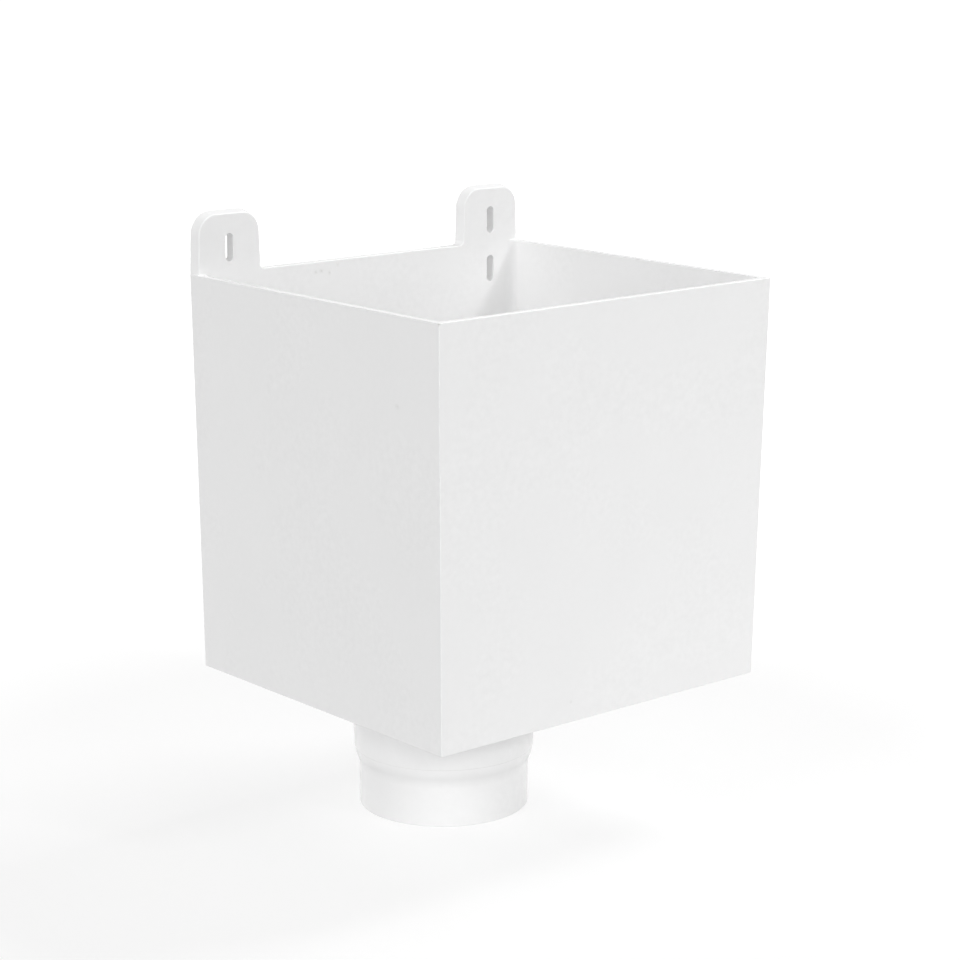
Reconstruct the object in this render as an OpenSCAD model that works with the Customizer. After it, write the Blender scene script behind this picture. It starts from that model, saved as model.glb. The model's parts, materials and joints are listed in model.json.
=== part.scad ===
// Downpipe hopper head: an open drafted box with a thick flat back, two slotted lugs and a round outlet.
// Origin at the centre of the spigot's lower end, +X to the right, +Y towards the wall, +Z up.

/* [Box] */
// Width of the box across its rim
rim_w = 240; // [200:5:300]
// Depth of the box at its rim, from the wall to the front
rim_d = 220; // [180:5:260]
// Height of the box, from the underside of its floor to its rim
box_h = 230; // [160:5:300]
// Draft of the front and side walls, in degrees
draft = 1; // [0.5:0.25:2]
// Thickness of the front and side walls
wall_t = 4; // [3:0.5:5]
// Thickness of the back wall and of the lugs
back_t = 6.5; // [5:0.5:8]
// Thickness of the floor
floor_t = 4; // [3:0.5:6]
// Radius of the outside edges around the floor
edge_r = 1; // [0.5:0.25:3]
// Radius of the inside edges around the floor
inner_r = 4; // [2:0.5:6]

/* [Lugs] */
// Width of a lug at its foot
lug_w = 46; // [40:1:56]
// Height of a lug above the rim
lug_h = 35; // [30:1:45]
// Radius of a lug's top corners
lug_r = 13; // [8:1:16]
// Lean of a lug's sides, in degrees
lug_lean = 2; // [0:0.5:4]
// Narrowing of a lug from its back to its front, on each side
lug_narrowing = 1.5; // [0.5:0.25:2]
// Radius of a lug's front edges
lug_edge_r = 1.5; // [0.5:0.25:2.5]
// Radius of the fillet at the foot of a lug's inner side
lug_foot_r = 2.5; // [1:0.5:4]

/* [Fixing slots] */
// Width of a slot
slot_w = 5.5; // [5:0.5:8]
// Length of a slot over its round ends
slot_l = 16; // [12:1:20]
// Height of an upper slot's centre above the rim
slot_up = 14; // [12:1:17]
// Distance from an upper slot's centre down to the lower slot's centre
slot_pitch = 30; // [26:1:40]

/* [Outlet] */
// Distance of the outlet's axis from the wall
outlet_reach = 77.5; // [70:0.5:100]
// Outside diameter of the spigot
spigot_d = 100; // [80:1:110]
// Length of the spigot
spigot_l = 35; // [25:1:60]
// Length of the collar between the spigot and the floor
collar_l = 52; // [30:1:80]
// Width of the ledge where the collar meets the spigot
ledge_w = 3; // [2:0.25:4]
// Widening of the collar's radius from the ledge to the floor
collar_flare = 1.5; // [0.5:0.25:2.5]
// Thickness of the outlet's wall
outlet_t = 3; // [2.5:0.25:4]
// Radius of the outlet's mouth in the floor and of the collar's root under it
mouth_r = 3; // [1:0.5:3.5]

/* [Hidden] */
$fn = 96;
arc_steps = 6;
overrun = 10;
upright_extra_r = 0.5;

wall_y = outlet_reach;
inner_back_y = wall_y - back_t;
floor_z = spigot_l + collar_l;
inner_floor_z = floor_z + floor_t;
rim_z = floor_z + box_h;
lug_x = (rim_w - lug_w) / 2;
upright_r = edge_r + upright_extra_r;
inner_upright_r = inner_r + upright_extra_r;

// Half the box's outside width, and the place of its front face, at height z
function half_w(z) = rim_w / 2 - (rim_z - z) * tan(draft);
function front_y(z) = wall_y - rim_d + (rim_z - z) * tan(draft);

// Points of an arc in equal steps from one angle to another
function arc(centre, r, from, to) = [
    for (i = [0 : arc_steps])
        let (a = from + (to - from) * i / arc_steps)
        centre + r * [cos(a), sin(a)]
];

// Inset and height of a quarter-round edge of radius r at each of its steps, from its flat to its wall
function edge_steps(r) = arc([r, r], r, 270, 180);

// Corner of a ring: a quarter turn about its centre, or one point where it is sharp
function corner(centre, r, start) = r > 0 ? arc(centre, r, start, start + 90) : [centre];

// Level ring with half width x between a front and a back, with its own corner radius at each
function box_ring(x, front, back, front_r, back_r, z) = [
    for (p = concat(
        corner([x - back_r, back - back_r], back_r, 0),
        corner([back_r - x, back - back_r], back_r, 90),
        corner([front_r - x, front + front_r], front_r, 180),
        corner([x - front_r, front + front_r], front_r, 270)
    )) [p[0], p[1], z]
];

function outside_ring(z, inset) =
    box_ring(half_w(z) - inset, front_y(z) + inset, wall_y, upright_r - inset, 0, z);

function inside_ring(z, inset) =
    let (r = inner_upright_r - inset)
    box_ring(half_w(z) - wall_t - inset, front_y(z) + wall_t + inset, inner_back_y - inset, r, r, z);

// Upright outline of a lug, drawn in by an inset, at depth y: its outer side is at +X, and its inner
// side ends in a fillet on the rim. It starts at the middle of its foot.
function lug_ring(inset, y) =
    let (
        r = lug_r - inset,
        centre_z = lug_h - lug_r,
        centre_x = lug_w / 2 - (lug_r + centre_z * sin(lug_lean)) / cos(lug_lean),
        foot_x = centre_x + (r + centre_z * sin(lug_lean)) / cos(lug_lean),
        fillet_x = foot_x + lug_foot_r * (1 - sin(lug_lean)) / cos(lug_lean),
        outline = concat(
            [[0, 0], [foot_x, 0]],
            arc([centre_x, centre_z], r, lug_lean, 90),
            arc([-centre_x, centre_z], r, 90, 180 - lug_lean),
            arc([-fillet_x, lug_foot_r], lug_foot_r, -lug_lean, -90)
        )
    )
    [for (p = outline) [p[0], y, p[1]]];

// Solid skinned over rings of equal length, each seen whole from its first point
module loft(rings) {
    n = len(rings[0]);
    last = len(rings) - 1;
    sides = [
        for (k = [0 : last - 1], i = [0 : n - 1])
            let (j = (i + 1) % n)
            [k * n + i, (k + 1) * n + i, (k + 1) * n + j, k * n + j]
    ];
    first_cap = [for (i = [0 : n - 1]) i];
    last_cap = [for (i = [0 : n - 1]) last * n + (n - i) % n];
    polyhedron([for (ring = rings) each ring], concat([first_cap], sides, [last_cap]));
}

// Outside of the box, rounded along the front and side edges of its floor and flat at the back
module box_outside() {
    edge_rings = [for (e = edge_steps(edge_r)) outside_ring(floor_z + e[1], e[0])];
    loft(concat(edge_rings, [outside_ring(rim_z, 0)]));
}

// Room inside the box, open through the rim
module box_inside() {
    edge_rings = [for (e = edge_steps(inner_r)) inside_ring(inner_floor_z + e[1], e[0])];
    loft(concat(edge_rings, [inside_ring(rim_z + overrun, 0)]));
}

// Round-topped lug on the right end of the rim, flush with the back wall at its back and at its front
module lug() {
    edge = edge_steps(lug_edge_r);
    edge_rings = [
        for (i = [arc_steps : -1 : 0])
            lug_ring(lug_narrowing + edge[i][0], inner_back_y + edge[i][1])
    ];
    translate([lug_x, 0, rim_z])
        loft(concat([lug_ring(0, wall_y)], edge_rings));
}

// Upright slot through the back wall, centred at height z
module slot(z) {
    straight = slot_l - slot_w;
    depth = back_t + 2 * overrun;
    translate([0, wall_y + overrun, z])
        rotate([90, 0, 0]) {
            translate([-slot_w / 2, -straight / 2, 0])
                cube([slot_w, straight, depth]);
            for (end = [-1, 1])
                translate([0, end * straight / 2, 0])
                    cylinder(h = depth, d = slot_w);
        }
}

// Outside of the spigot, the ledge and the collar up into the floor
module outlet_outside() {
    spigot_r = spigot_d / 2;
    ledge_r = spigot_r + ledge_w;
    root_r = ledge_r + collar_flare;
    root_z = floor_z - mouth_r;
    rotate_extrude() {
        polygon([
            [0, 0],
            [spigot_r, 0],
            [spigot_r, spigot_l],
            [ledge_r, spigot_l],
            [root_r, root_z],
            [0, root_z]
        ]);
        difference() {
            translate([0, root_z])
                square([root_r + mouth_r, mouth_r + floor_t / 2]);
            translate([root_r + mouth_r, root_z])
                circle(r = mouth_r);
        }
    }
}

// Passage through the outlet, with a rounded mouth in the floor
module outlet_inside() {
    spigot_bore_r = spigot_d / 2 - outlet_t;
    collar_bore_r = spigot_bore_r + ledge_w;
    floor_bore_r = collar_bore_r + collar_flare;
    step_z = spigot_l + outlet_t;
    mouth_z = inner_floor_z - mouth_r;
    rotate_extrude() {
        polygon([
            [0, -overrun],
            [spigot_bore_r, -overrun],
            [spigot_bore_r, step_z],
            [collar_bore_r, step_z + ledge_w],
            [floor_bore_r, mouth_z],
            [0, mouth_z]
        ]);
        difference() {
            translate([0, mouth_z])
                square([floor_bore_r + mouth_r, mouth_r + overrun]);
            translate([floor_bore_r + mouth_r, mouth_z])
                circle(r = mouth_r);
        }
    }
}

module hopper_head() {
    slot_z = rim_z + slot_up;
    color("whitesmoke")
        difference() {
            union() {
                difference() {
                    box_outside();
                    box_inside();
                }
                lug();
                mirror([1, 0, 0])
                    lug();
                outlet_outside();
            }
            outlet_inside();
            for (side = [-1, 1], z = [slot_z, slot_z - slot_pitch])
                translate([side * lug_x, 0, 0])
                    slot(z);
        }
}

hopper_head();
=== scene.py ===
import json
import math

import bpy
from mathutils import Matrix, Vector


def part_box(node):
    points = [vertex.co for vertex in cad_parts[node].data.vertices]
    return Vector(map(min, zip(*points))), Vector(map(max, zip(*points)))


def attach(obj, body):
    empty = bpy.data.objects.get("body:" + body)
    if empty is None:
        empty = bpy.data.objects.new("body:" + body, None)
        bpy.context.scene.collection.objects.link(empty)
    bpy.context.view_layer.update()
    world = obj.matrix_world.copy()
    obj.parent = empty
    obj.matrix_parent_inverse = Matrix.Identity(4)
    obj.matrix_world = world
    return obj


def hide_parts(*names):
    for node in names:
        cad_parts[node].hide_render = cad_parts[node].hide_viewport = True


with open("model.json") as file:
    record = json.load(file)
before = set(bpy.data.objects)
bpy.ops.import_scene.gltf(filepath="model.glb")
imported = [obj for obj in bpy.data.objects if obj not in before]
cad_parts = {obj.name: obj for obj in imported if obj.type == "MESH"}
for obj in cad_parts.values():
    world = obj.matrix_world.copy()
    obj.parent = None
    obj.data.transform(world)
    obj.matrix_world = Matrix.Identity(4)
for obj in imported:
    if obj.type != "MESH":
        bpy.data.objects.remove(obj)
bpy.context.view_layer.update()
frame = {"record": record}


# Hopper head: the whole object, one injection moulding in rigid white PVC. The box is drawn off its core
# with a little draft, so its walls lean, and the outlet, the thick back and the two lugs are moulded with it.
# Every edge that the mould leaves has a small radius, which is what catches the light along the rim.
class Wire:
    """A socket that can be used in Python sums: each sum adds a Math node to the socket's tree."""

    def __init__(self, socket):
        self.socket = socket

    @classmethod
    def add(cls, tree, kind, values=(), out=0, items=0, stops=(), **settings):
        """New node of a kind, with its settings, then the values or wires of its sockets."""
        node = tree.nodes.new(kind)
        for name, setting in settings.items():
            setattr(node, name, setting)
        while items and len(node.index_switch_items) < items:
            node.index_switch_items.new()
        for place, (position, colour) in enumerate(stops):
            ramp = node.color_ramp.elements
            stop = ramp[place] if place < len(ramp) else ramp.new(position)
            stop.position = position
            stop.color = colour
        for name, value in dict(values).items():
            socket = node.inputs[name]
            for each in value if isinstance(value, list) else [value]:
                if isinstance(each, Wire):
                    tree.links.new(each.socket, socket)
                else:
                    socket.default_value = each
        return cls(node.outputs[out]) if node.outputs else node

    def math(self, operation, *others):
        """Math node that takes this socket first."""
        values = dict(enumerate((self, *others)))
        return Wire.add(self.socket.id_data, "ShaderNodeMath", values, operation=operation)

    def reflected(self, operation, other):
        """Math node that takes this socket second."""
        return Wire.add(self.socket.id_data, "ShaderNodeMath", {0: other, 1: self}, operation=operation)

    def __add__(self, other):
        return self.math("ADD", other)

    def __sub__(self, other):
        return self.math("SUBTRACT", other)

    def __mul__(self, other):
        return self.math("MULTIPLY", other)

    def __truediv__(self, other):
        return self.math("DIVIDE", other)

    def __mod__(self, other):
        return self.math("MODULO", other)

    def __gt__(self, other):
        return self.math("GREATER_THAN", other)

    def __lt__(self, other):
        return self.math("LESS_THAN", other)

    def __neg__(self):
        return self * -1

    def __radd__(self, other):
        return self.reflected("ADD", other)

    def __rsub__(self, other):
        return self.reflected("SUBTRACT", other)

    def __rmul__(self, other):
        return self.reflected("MULTIPLY", other)

    def __rtruediv__(self, other):
        return self.reflected("DIVIDE", other)


QUARTER = math.pi / 2
MM = 0.001
low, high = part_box("hopper_head")
mounts = {mount["name"]: mount for mount in frame["record"]["mounts"]}
spigot = mounts["outlet_spigot"]["dims"]
slots = mounts["right_slots"]
slots_at = Vector(slots["pos_m"])

moulding = bpy.data.node_groups.new("hopper_head_moulding", "GeometryNodeTree")
moulding.interface.new_socket("Moulding", in_out="OUTPUT", socket_type="NodeSocketGeometry")
sizes_in = moulding.nodes.new("NodeGroupInput")
size_values = {}


def size(name, value):
    """Named size of the moulding, whose value is set on the modifier."""
    socket = moulding.interface.new_socket(name, in_out="INPUT", socket_type="NodeSocketFloat")
    size_values[socket.identifier] = value
    return Wire(sizes_in.outputs[name])


lug_height = 35 * MM
rim_w = size("Rim width", high.x - low.x)
rim_d = size("Rim depth", high.y - low.y)
rim_z = size("Rim height", high.z - lug_height)
box_h = size("Box height", 230 * MM)
wall_y = size("Wall place", high.y)
draft = size("Draft slope", math.tan(math.radians(1)))
wall_t = size("Wall", 4 * MM)
back_t = size("Back wall", 6.5 * MM)
floor_t = size("Floor", 4 * MM)
edge_r = size("Outside floor edge", 0.5 * MM)
inner_r = size("Inside floor edge", 4 * MM)
upright_r = size("Outside upright edge", 0.5 * MM)
inner_upright_r = size("Inside upright edge", 4.5 * MM)
rim_r = size("Rim edge", 0.4 * MM)
back_r = size("Back edge", 0.5 * MM)
spigot_r = size("Spigot radius", spigot["r_mm"] * MM)
spigot_l = size("Spigot length", spigot["length_mm"] * MM)
ledge_w = size("Ledge width", 3 * MM)
ledge_r = size("Ledge edge", 0.4 * MM)
shoulder_h = size("Shoulder height", 12 * MM)
collar_flare = size("Collar flare", 1.5 * MM)
outlet_t = size("Outlet wall", 3 * MM)
mouth_r = size("Outlet mouth edge", 3 * MM)
lug_x = size("Lug place", slots_at.x)
lug_w = size("Lug width", 46 * MM)
lug_h = size("Lug height", lug_height)
lug_r = size("Lug corner", 13 * MM)
lug_lean = size("Lug lean", math.radians(2))
lug_narrowing = size("Lug narrowing", 1.5 * MM)
lug_edge_r = size("Lug front edge", 0.8 * MM)
lug_foot_r = size("Lug foot", 2.5 * MM)
slot_r = size("Slot half width", slots["dims"]["hole_r_mm"] * MM)
slot_l = size("Slot length", slots["dims"]["slot_length_mm"] * MM)
slot_pitch = size("Slot pitch", slots["dims"]["spacing_y_mm"] * MM)
slot_z = size("Slot middle height", slots_at.z)
slot_edge_r = size("Slot edge", 0.25 * MM)
slot_back_r = size("Slot back edge", 0.05 * MM)
flush = size("Flush allowance", 0.02 * MM)


def pick(index, options):
    """The number or wire that stands at an index."""
    values = {"Index": index, **{place + 1: option for place, option in enumerate(options)}}
    return Wire.add(moulding, "GeometryNodeIndexSwitch", values, items=len(options), data_type="FLOAT")


def turn(angle):
    """Cosine and sine of an angle."""
    return angle.math("COSINE"), angle.math("SINE")


def along(count, steps):
    """Segment that a numbered point lies in, and how far along it the point is, from 0 to 1."""
    return (count / (steps + 1)).math("FLOOR"), (count % (steps + 1)) / steps


weld_gap = 0.002 * MM


def skin(rings, columns, place):
    """Closed skin over rings of points: place gives a point's x, y and z from its ring and column numbers."""
    across = columns + 1
    grid = Wire.add(moulding, "GeometryNodeMeshGrid", {"Vertices X": rings + 1, "Vertices Y": across})
    number = Wire.add(moulding, "GeometryNodeInputIndex")
    ring = (number / across).math("FLOOR") % rings
    column = (number % across) % columns
    x, y, z = place(ring, column)
    position = Wire.add(moulding, "ShaderNodeCombineXYZ", {"X": x, "Y": y, "Z": z})
    placed = Wire.add(moulding, "GeometryNodeSetPosition", {"Geometry": grid, "Position": position})
    merged = Wire.add(moulding, "GeometryNodeMergeByDistance", {"Geometry": placed, "Distance": weld_gap})
    return Wire.add(moulding, "GeometryNodeFlipFaces", {"Mesh": merged})


arc_steps = 6
corner_steps = 24
box_corners = 4
floor_z = rim_z - box_h
inner_floor_z = floor_z + floor_t
inner_back_y = wall_y - back_t
collar_r = spigot_r + ledge_w
root_r = collar_r + collar_flare
bore_r = spigot_r - outlet_t
collar_bore_r = bore_r + ledge_w
floor_bore_r = collar_bore_r + collar_flare
step_z = spigot_l + outlet_t
shoulder_w = ledge_w - ledge_r
shoulder_turn = 2 * (shoulder_w / shoulder_h).math("ARCTANGENT")
shoulder_r = shoulder_h / (2 * shoulder_turn.math("SINE"))
shoulder_sweep = shoulder_turn / QUARTER

# The shell's section as arcs, from the outside of the floor over the rim, down the inside and through the
# outlet, and up its outside over the shoulder: 1 where the ring is round, the inset or radius and height
# of the arc's centre, its own radius, and its first angle and its turn in quarters.
last_outside_arc = 1
section = [
    (0, edge_r, floor_z + edge_r, edge_r, 3, -1),
    (0, rim_r, rim_z - rim_r, rim_r, 2, -1),
    (0, wall_t - rim_r, rim_z - rim_r, rim_r, 1, -1),
    (0, wall_t + inner_r, inner_floor_z + inner_r, inner_r, 2, 1),
    (1, floor_bore_r + mouth_r, inner_floor_z - mouth_r, mouth_r, 1, 1),
    (1, collar_bore_r, step_z + ledge_w, 0, 0, 0),
    (1, bore_r, step_z, 0, 0, 0),
    (1, bore_r + ledge_r, ledge_r, ledge_r, 2, 1),
    (1, spigot_r - ledge_r, ledge_r, ledge_r, 3, 1),
    (1, spigot_r + shoulder_r, spigot_l - shoulder_h, shoulder_r, 2, -shoulder_sweep),
    (1, spigot_r + shoulder_w - shoulder_r, spigot_l, shoulder_r, -shoulder_sweep, shoulder_sweep),
    (1, collar_r - ledge_r, spigot_l + ledge_r, ledge_r, 3, 1),
    (1, root_r + mouth_r, floor_z - mouth_r, mouth_r, 2, -1),
]


def shell_place(ring, column):
    """Point of the shell: its ring counts along the section, its column round the box or the outlet."""
    arc, way = along(ring, arc_steps)
    is_round, centre, height, radius, first, sweep = (pick(arc, options) for options in zip(*section))
    out, up = turn((first + sweep * way) * QUARTER)
    inset = centre + radius * out
    z = height + radius * up
    corner, way_round = along(column, corner_steps)
    right, rear = turn((corner + way_round) * QUARTER)
    side = pick(corner, [1, -1, -1, 1])
    at_back = pick(corner, [1, 1, 0, 0])
    inside = arc > last_outside_arc
    lean = (rim_z - z) * draft
    front_r = upright_r + inside * (inner_upright_r + wall_t - upright_r) - inset
    rear_r = back_r + inside * (front_r - back_r)
    corner_r = front_r + at_back * (rear_r - front_r)
    outside_inset = inset.math("MINIMUM", back_r)
    back_inset = outside_inset + inside * (back_t - wall_t + inset - outside_inset)
    box_x = side * (rim_w / 2 - lean - inset - corner_r) + corner_r * right
    front_y = wall_y - rim_d + lean + inset + corner_r
    back_y = wall_y - back_inset - corner_r
    box_y = front_y + at_back * (back_y - front_y) + corner_r * rear
    x = box_x + is_round * (inset * right - box_x)
    y = box_y + is_round * (inset * rear - box_y)
    return x, y, z


shell = skin(len(section) * (arc_steps + 1), box_corners * (corner_steps + 1), shell_place)


# A lug's outline starts below the rim, inside the back wall, and runs up its outer side, over its round top
# and down its inner side to a fillet on the rim. From back to front it narrows, and its edges are rounded.
lug_depths = 4
lug_arcs = 5
lug_arc_steps = 2 * arc_steps


def lug_place(ring, column):
    """Point of the right lug: its ring counts from back to front, its column along the outline."""
    sink = 2 * rim_r
    depth_arc, way = along(ring, arc_steps)
    depth_section = [
        (0, 0, wall_y - flush, 0, 0, 0),
        (1, back_r, wall_y - flush - back_r, back_r, 1, 1),
        (1, lug_narrowing + lug_edge_r, inner_back_y - flush + lug_edge_r, lug_edge_r, 2, 1),
        (0, 0, inner_back_y - flush, 0, 0, 0),
    ]
    picked = (pick(depth_arc, options) for options in zip(*depth_section))
    spread, centre, depth, radius, first, sweep = picked
    out, back = turn((first + sweep * way) * QUARTER)
    inset = centre + radius * out
    y = depth + radius * back
    lean_cos, lean_sin = turn(lug_lean)
    top_r = lug_r - inset
    top_z = lug_h - lug_r
    top_x = lug_w / 2 - (lug_r + top_z * lean_sin) / lean_cos
    foot_x = top_x + (top_r + top_z * lean_sin) / lean_cos
    fillet_x = foot_x + lug_foot_r * (1 - lean_sin) / lean_cos
    outline = [
        (foot_x - 2 * sink * draft, -sink, 0, 0, 0),
        (top_x, top_z, top_r, lug_lean, QUARTER),
        (-top_x, top_z, top_r, QUARTER, 2 * QUARTER - lug_lean),
        (-fillet_x, lug_foot_r - 2 * flush, lug_foot_r, -lug_lean, -QUARTER),
        (-fillet_x, -sink, 0, 0, 0),
    ]
    arc, way_round = along(column, lug_arc_steps)
    arc_x, arc_z, arc_r, start, end = (pick(arc, options) for options in zip(*outline))
    right, up = turn(start + (end - start) * way_round)
    x = spread * (arc_x + arc_r * right)
    z = spread * (arc_z + arc_r * up + sink / 2) - sink / 2
    return lug_x + x, y, rim_z + z


right_lug = skin(lug_depths * (arc_steps + 1), lug_arcs * (lug_arc_steps + 1), lug_place)
mirrored_lug = Wire.add(moulding, "GeometryNodeTransform", {"Geometry": right_lug, "Scale": (-1, 1, 1)})
left_lug = Wire.add(moulding, "GeometryNodeFlipFaces", {"Mesh": mirrored_lug})
lugged_shell = Wire.add(
    moulding,
    "GeometryNodeMeshBoolean",
    {"Mesh 2": [shell, right_lug, left_lug]},
    operation="UNION",
    solver="MANIFOLD",
)


# A slot is cut by its core pin: straight sides, round ends, and edges that open out at both faces.
pin_depths = 4
pin_ends = 2
pin_arc_steps = 4 * arc_steps


def slot_place(ring, column):
    """Point of a core pin: its ring counts from back to front, its column round its two ends."""
    depth_arc, way = along(ring, arc_steps)
    depth_section = [
        (0, 0, wall_y + flush, 0, 0, 0),
        (1, slot_back_r, wall_y + flush - slot_back_r, slot_back_r, 1, 1),
        (1, slot_edge_r, inner_back_y - 2 * flush + slot_edge_r, slot_edge_r, 2, 1),
        (0, 0, inner_back_y - 2 * flush, 0, 0, 0),
    ]
    picked = (pick(depth_arc, options) for options in zip(*depth_section))
    spread, centre, depth, radius, first, sweep = picked
    out, back = turn((first + sweep * way) * QUARTER)
    end, way_round = along(column, pin_arc_steps)
    right, up = turn((end + way_round) * 2 * QUARTER)
    pin_r = slot_r + centre + radius * out
    end_z = (slot_l / 2 - slot_r) * pick(end, [1, -1])
    return spread * pin_r * right, depth + radius * back, spread * (end_z + pin_r * up)


core_pin = skin(pin_depths * (arc_steps + 1), pin_ends * (pin_arc_steps + 1), slot_place)
slot_points = Wire.add(
    moulding,
    "GeometryNodeMeshGrid",
    {"Size X": 2 * lug_x, "Size Y": slot_pitch, "Vertices X": 2, "Vertices Y": 2},
)
upright_points = Wire.add(
    moulding,
    "GeometryNodeTransform",
    {
        "Geometry": slot_points,
        "Translation": Wire.add(moulding, "ShaderNodeCombineXYZ", {"Z": slot_z}),
        "Rotation": (QUARTER, 0, 0),
    },
)
pin_set = Wire.add(
    moulding,
    "GeometryNodeInstanceOnPoints",
    {"Points": upright_points, "Instance": core_pin},
)
core_pins = Wire.add(moulding, "GeometryNodeRealizeInstances", {"Geometry": pin_set})
slotted = Wire.add(
    moulding,
    "GeometryNodeMeshBoolean",
    {"Mesh 1": lugged_shell, "Mesh 2": core_pins},
    operation="DIFFERENCE",
    solver="MANIFOLD",
)

# Faces that look squarely forward or back are shaded flat, so that the slots leave no streaks beside them,
# and an edge that turns by more than the crease stays sharp.
squarely = 0.99995
crease = math.radians(35)
clean = Wire.add(moulding, "GeometryNodeMergeByDistance", {"Geometry": slotted, "Distance": weld_gap})
facing = Wire.add(moulding, "GeometryNodeInputNormal")
facing_y = Wire.add(moulding, "ShaderNodeSeparateXYZ", {"Vector": facing}, out="Y")
smooth = Wire.add(
    moulding,
    "GeometryNodeSetShadeSmooth",
    {"Geometry": clean, "Shade Smooth": facing_y.math("ABSOLUTE") < squarely},
    domain="FACE",
)
edge_angle = Wire.add(moulding, "GeometryNodeInputMeshEdgeAngle")
creased = Wire.add(
    moulding,
    "GeometryNodeSetShadeSmooth",
    {"Geometry": smooth, "Selection": edge_angle > crease, "Shade Smooth": False},
    domain="EDGE",
)

pvc_ior = 1.53
dull_white = (0.89, 0.89, 0.89, 1)
clear_white = (0.98, 0.98, 0.98, 1)
mark_grey = (0.68, 0.68, 0.67, 1)
noise_middle = 0.5
pvc = bpy.data.materials.new("white_pvc")
pvc.use_nodes = True
pvc_tree = pvc.node_tree
pvc_tree.nodes.clear()
pvc_place = Wire.add(pvc_tree, "ShaderNodeTexCoord", out="Object")


def noise(scale, detail):
    """Cloudy pattern about 0, with as many patches to a metre as its scale says."""
    values = {"Vector": pvc_place, "Scale": scale, "Detail": detail}
    pattern = Wire.add(pvc_tree, "ShaderNodeTexNoise", values)
    return pattern - noise_middle


def fade(value, start, end):
    """1 up to the start, 0 beyond the end."""
    limits = {"Value": value, "From Min": start, "From Max": end, "To Min": 1.0, "To Max": 0.0}
    return Wire.add(pvc_tree, "ShaderNodeMapRange", limits, interpolation_type="SMOOTHSTEP")


# The polished mould leaves a faint orange peel, and the melt's flow a mottling that comes and goes in
# patches. Handling has left a few grey specks and scuffs: place in mm, radius in mm, and strength.
cloud_shade = 0.3
even_mottle = 0.25
patch_mottle = 0.6
peel = noise(scale=330, detail=2)
mottle = noise(scale=300, detail=3)
flow = noise(scale=16, detail=2)
cloud = noise(scale=22, detail=3)
patches = 1 - fade(flow, start=-0.04, end=0.08)
shade = noise_middle + cloud_shade * cloud + mottle * (even_mottle + patch_mottle * patches)
tone = Wire.add(
    pvc_tree,
    "ShaderNodeValToRGB",
    {"Fac": shade},
    stops=[(0.0, dull_white), (1.0, clear_white)],
)
marks = [
    ((-119.2, -107.5, 269.5), 1.8, 0.6),
    ((-117.2, 4, 155.5), 1.4, 0.6),
    ((-25, -138.7, 98.5), 1.4, 0.6),
    ((-32.5, 71, 311.5), 1.9, 0.8),
    ((-36.5, 71, 311), 1.4, 0.6),
    ((-26.5, 71, 310), 1.6, 0.7),
    ((-20.5, 71, 314), 1.6, 0.5),
    ((-119.6, -142.2, 316.8), 1.4, 1.0),
]
ragged_edge = 2 * MM
dirt = 0.0
for spot, radius, strength in marks:
    reach = Wire.add(
        pvc_tree,
        "ShaderNodeVectorMath",
        {0: pvc_place, 1: Vector(spot) * MM},
        out="Value",
        operation="DISTANCE",
    )
    ragged = reach + ragged_edge * mottle
    dirt = (strength * fade(ragged, start=0, end=radius * MM)).math("MAXIMUM", dirt)

# The Mix node's colour sockets share their names with its number sockets, so they are given by their places.
mix_sockets = {0: dirt, 6: tone, 7: mark_grey}
marked = Wire.add(pvc_tree, "ShaderNodeMix", mix_sockets, out=2, data_type="RGBA")
peel_strength = 0.05
peel_depth = 0.4 * MM
bump = Wire.add(
    pvc_tree,
    "ShaderNodeBump",
    {"Strength": peel_strength, "Distance": peel_depth, "Height": peel},
)
even_roughness = 0.2
cloud_roughness = 0.08
patch_roughness = 0.03
dirt_roughness = 0.3
clean_roughness = even_roughness + cloud_roughness * cloud + patch_roughness * patches
roughness = clean_roughness + dirt_roughness * dirt
surface = Wire.add(
    pvc_tree,
    "ShaderNodeBsdfPrincipled",
    {"Base Color": marked, "Roughness": roughness, "IOR": pvc_ior, "Normal": bump},
)
Wire.add(pvc_tree, "ShaderNodeOutputMaterial", {"Surface": surface})

realised = Wire.add(moulding, "GeometryNodeRealizeInstances", {"Geometry": creased})
finished = Wire.add(moulding, "GeometryNodeSetMaterial", {"Geometry": realised, "Material": pvc})
Wire.add(moulding, "NodeGroupOutput", {"Moulding": finished})

blank = bpy.data.objects.new("hopper_blank", bpy.data.meshes.new("hopper_blank"))
bpy.context.scene.collection.objects.link(blank)
form = blank.modifiers.new("moulding", "NODES")
form.node_group = moulding
for identifier, value in size_values.items():
    form[identifier] = value
flats = blank.modifiers.new("flat_faces_first", "WEIGHTED_NORMAL")
flats.keep_sharp = True
graph = bpy.context.evaluated_depsgraph_get()
moulded_mesh = bpy.data.meshes.new_from_object(blank.evaluated_get(graph), depsgraph=graph)
bpy.data.objects.remove(blank)
hopper = bpy.data.objects.new("hopper_head_moulding", moulded_mesh)
bpy.context.scene.collection.objects.link(hopper)
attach(hopper, "root")
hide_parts("hopper_head")


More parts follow.
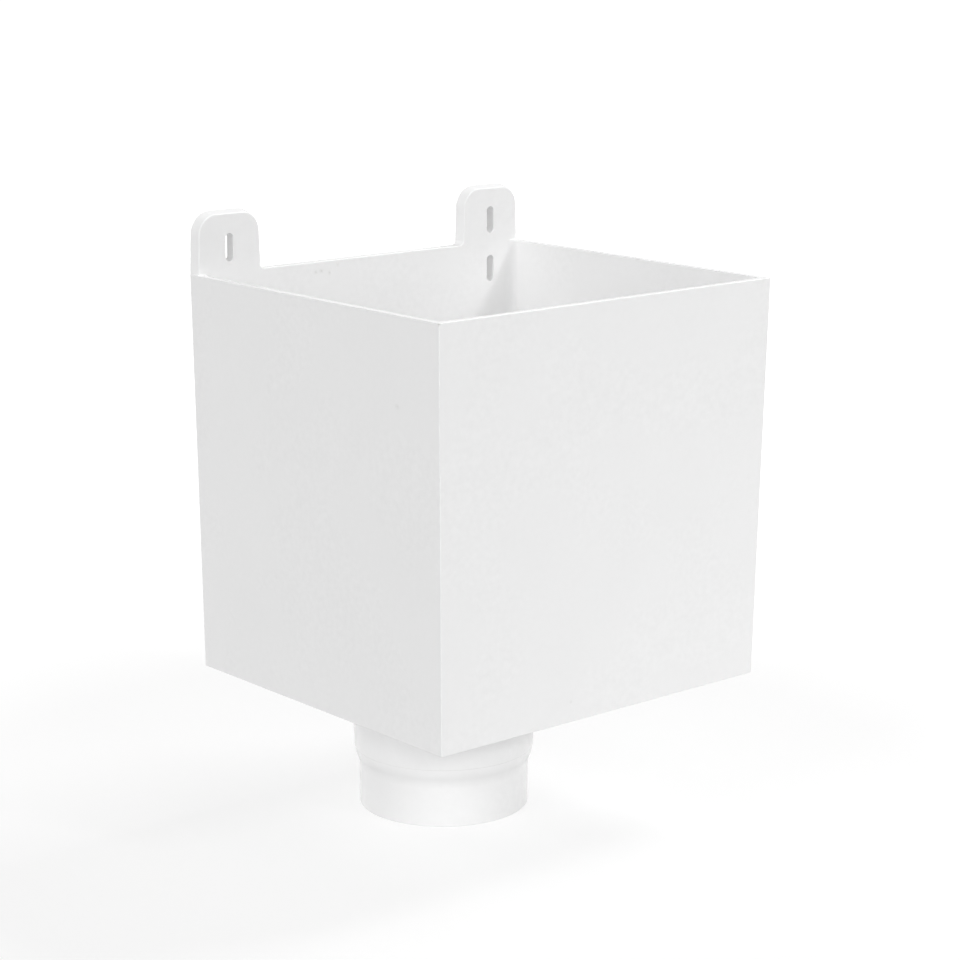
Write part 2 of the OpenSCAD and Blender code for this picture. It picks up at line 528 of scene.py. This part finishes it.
# Floor: a wide pale sheet that the hopper head stands on, down to the far edge of the picture. It shows
# white to the camera and in reflections, and keeps the soft shadow under the spigot. A whiter card
# lies on it, under the spigot and out to the front right, and throws light back on that side of the box.
floor_half = 30.0
card_middle = Vector((0.32, -0.32, 0))
card_half = 0.36
card_end = 0.58
spigot_margin = 0.12
card_tone = 0.74
sheet_tone = 0.36
shadow_start = 0.3
shadow_end = 0.9
shadow_glow = 0.7
full_glow = 1.0
shadow_grey = (0.3, 0.3, 0.3, 1)
white = (1, 1, 1, 1)
floor_corners = [(-1, -1), (1, -1), (1, 1), (-1, 1)]
floor_points = [(x * floor_half, y * floor_half, low.z) for x, y in floor_corners]
floor_mesh = bpy.data.meshes.new("studio_floor")
floor_mesh.from_pydata(floor_points, [], [(0, 1, 2, 3)])
floor = bpy.data.objects.new("studio_floor", floor_mesh)
bpy.context.scene.collection.objects.link(floor)
sheet = bpy.data.materials.new("pale_sheet")
sheet.use_nodes = True
sheet_tree = sheet.node_tree
sheet_tree.nodes.clear()


def shows_background(tree):
    """1 for the rays that see the background: the camera's, and those reflected or let through."""
    seen = Wire.add(tree, "ShaderNodeLightPath", out="Is Camera Ray")
    for kind in ("Is Glossy Ray", "Is Transmission Ray"):
        seen = seen.math("MAXIMUM", Wire.add(tree, "ShaderNodeLightPath", out=kind))
    return seen


sheet_place = Wire.add(sheet_tree, "ShaderNodeTexCoord", out="Object")
spigot_distance = Wire.add(
    sheet_tree,
    "ShaderNodeVectorMath",
    {0: sheet_place},
    out="Value",
    operation="LENGTH",
)
card_distance = Wire.add(
    sheet_tree,
    "ShaderNodeVectorMath",
    {0: sheet_place, 1: card_middle},
    out="Value",
    operation="DISTANCE",
)
card_reach = card_distance.math("MINIMUM", spigot_distance + spigot_margin)
paper_tone = Wire.add(
    sheet_tree,
    "ShaderNodeMapRange",
    {
        "Value": card_reach,
        "From Min": card_half,
        "From Max": card_end,
        "To Min": card_tone,
        "To Max": sheet_tone,
    },
)
paper = Wire.add(sheet_tree, "ShaderNodeBsdfDiffuse", {"Color": paper_tone})
glow_level = Wire.add(
    sheet_tree,
    "ShaderNodeMapRange",
    {
        "Value": spigot_distance,
        "From Min": shadow_start,
        "From Max": shadow_end,
        "To Min": shadow_glow,
        "To Max": full_glow,
    },
)
shadow_paper = Wire.add(sheet_tree, "ShaderNodeBsdfDiffuse", {"Color": shadow_grey})
glow = Wire.add(sheet_tree, "ShaderNodeEmission", {"Color": white, "Strength": glow_level})
lit_paper = Wire.add(sheet_tree, "ShaderNodeAddShader", {0: shadow_paper, 1: glow})
sheet_look = Wire.add(
    sheet_tree,
    "ShaderNodeMixShader",
    {"Fac": shows_background(sheet_tree), 1: paper, 2: lit_paper},
)
Wire.add(sheet_tree, "ShaderNodeOutputMaterial", {"Surface": sheet_look})
floor_mesh.materials.append(sheet)


# Light: large soft lamps stand round the box, one of them high on the right, so that no side and no inside
# wall falls dark. A small one in front throws the shadow of the right wall into the corner of the box. The
# room itself is dim, and white where it is seen.
room_level = 0.28
lamp_distance = 5.0
room = bpy.data.worlds.new("white_room")
room.use_nodes = True
room_tree = room.node_tree
room_tree.nodes.clear()
seen_room = shows_background(room_tree)
level = room_level + seen_room * (1 - room_level)
backdrop = Wire.add(room_tree, "ShaderNodeBackground", {"Color": white, "Strength": level})
Wire.add(room_tree, "ShaderNodeOutputWorld", {"Surface": backdrop})
bpy.context.scene.world = room


def soft_lamp(name, azimuth, elevation, width, energy):
    """Square lamp that faces the middle of the rim: azimuth 0 is in front of the box and 90 on its right."""
    data = bpy.data.lights.new(name, "AREA")
    data.shape = "SQUARE"
    data.size = width
    data.energy = energy
    lamp = bpy.data.objects.new(name, data)
    around = math.radians(azimuth)
    above = math.radians(elevation)
    level_way = Vector((math.sin(around), -math.cos(around), 0)) * math.cos(above)
    way = level_way + Vector((0, 0, math.sin(above)))
    lamp.location = Vector((0, 0, high.z - lug_height)) + way * lamp_distance
    lamp.rotation_euler = way.to_track_quat("Z", "Y").to_euler()
    bpy.context.scene.collection.objects.link(lamp)


soft_lamp("left_lamp", azimuth=-85, elevation=22, width=2.0, energy=92.0)
soft_lamp("near_lamp", azimuth=-38, elevation=12, width=1.6, energy=34.0)
soft_lamp("front_lamp", azimuth=16, elevation=21.5, width=0.4, energy=40.0)
soft_lamp("wide_lamp", azimuth=0, elevation=25, width=2.0, energy=40.0)
soft_lamp("side_lamp", azimuth=80, elevation=50, width=2.0, energy=112.0)
soft_lamp("right_lamp", azimuth=100, elevation=8, width=2.0, energy=22.0)
soft_lamp("back_lamp", azimuth=180, elevation=8, width=2.0, energy=75.0)


# Camera: in front, to the left and above the rim, where the photograph was taken from. Its lens is given as
# a length in pixels of the square picture, and is turned into millimetres on the sensor.
picture_px = 960
lens_px = 2590
sensor_mm = 36.0
camera_at = Vector((-0.93314, -1.12814, 0.52981))
camera_aim = Vector((-0.00384, -0.0377, 0.20132))
camera_data = bpy.data.cameras.new("camera")
camera_data.sensor_width = sensor_mm
camera_data.lens = sensor_mm * lens_px / picture_px
camera = bpy.data.objects.new("camera", camera_data)
camera.location = camera_at
camera.rotation_euler = (camera_aim - camera_at).to_track_quat("-Z", "Y").to_euler()
bpy.context.scene.collection.objects.link(camera)
bpy.context.scene.camera = camera
bpy.context.scene.view_settings.view_transform = "Standard"

bpy.context.view_layer.update()
